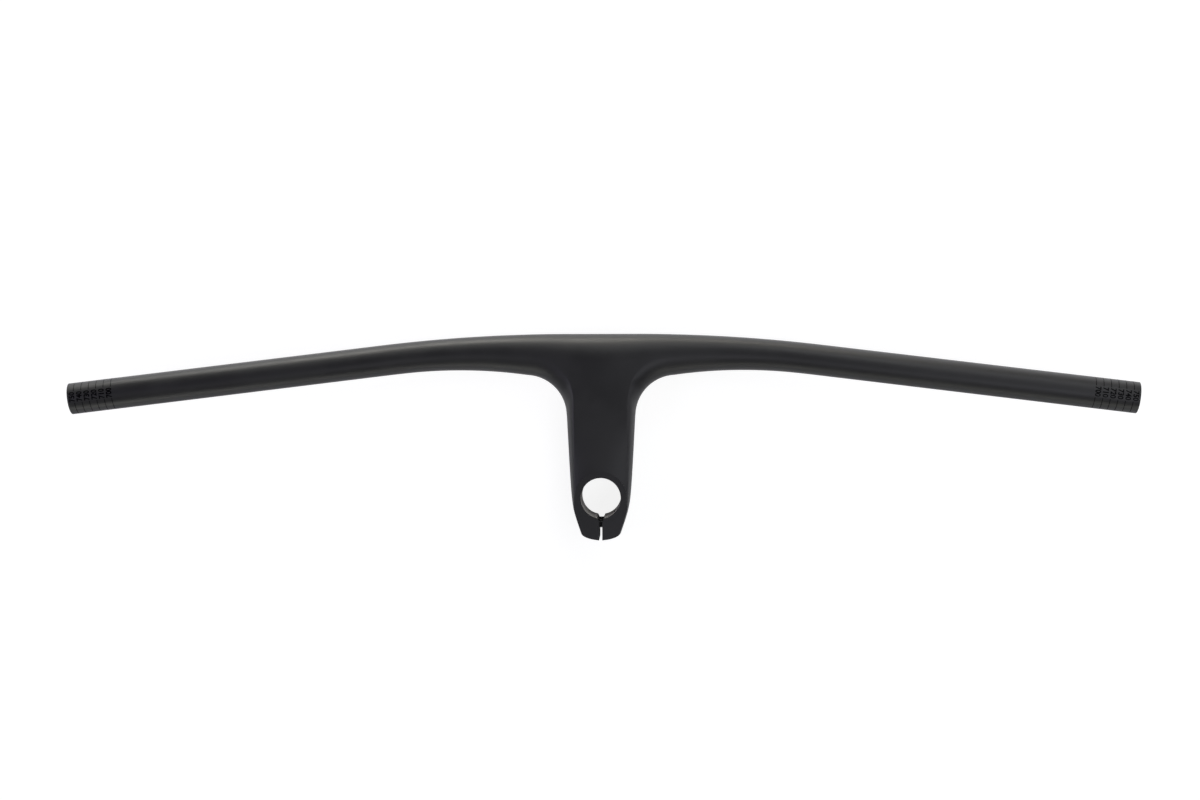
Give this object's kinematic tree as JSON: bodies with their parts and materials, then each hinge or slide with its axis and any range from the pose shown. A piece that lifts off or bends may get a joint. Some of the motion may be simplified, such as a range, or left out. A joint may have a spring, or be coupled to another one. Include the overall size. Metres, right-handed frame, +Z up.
{
  "type": "integrated handlebar stem",
  "caption": "One-piece moulded flat handlebar and stem with swept tubes, hollow bar ends and a split steerer clamp closed by cross bolts.",
  "frame": {"origin": "middle of the steerer clamp's bore, on its axis", "axes": "+Z up the steerer axis, +Y forward to the bar, +X to the right bar end as the picture shows it"},
  "size_m": [0.76, 0.148, 0.0586],
  "materials": {
    "carbon": "matt black clear coat over moulded carbon fibre, no visible weave",
    "black_steel": "black oxide on steel",
    "plain_steel": "bright turned steel"
  },
  "bodies": {
    "root": {"bar_stem": "carbon", "clamp_bolt_upper": "black_steel", "clamp_bolt_lower": "black_steel", "washer_upper": "plain_steel", "washer_lower": "plain_steel", "barrel_nut_upper": "plain_steel", "barrel_nut_lower": "plain_steel"}
  },
  "joints": []
}
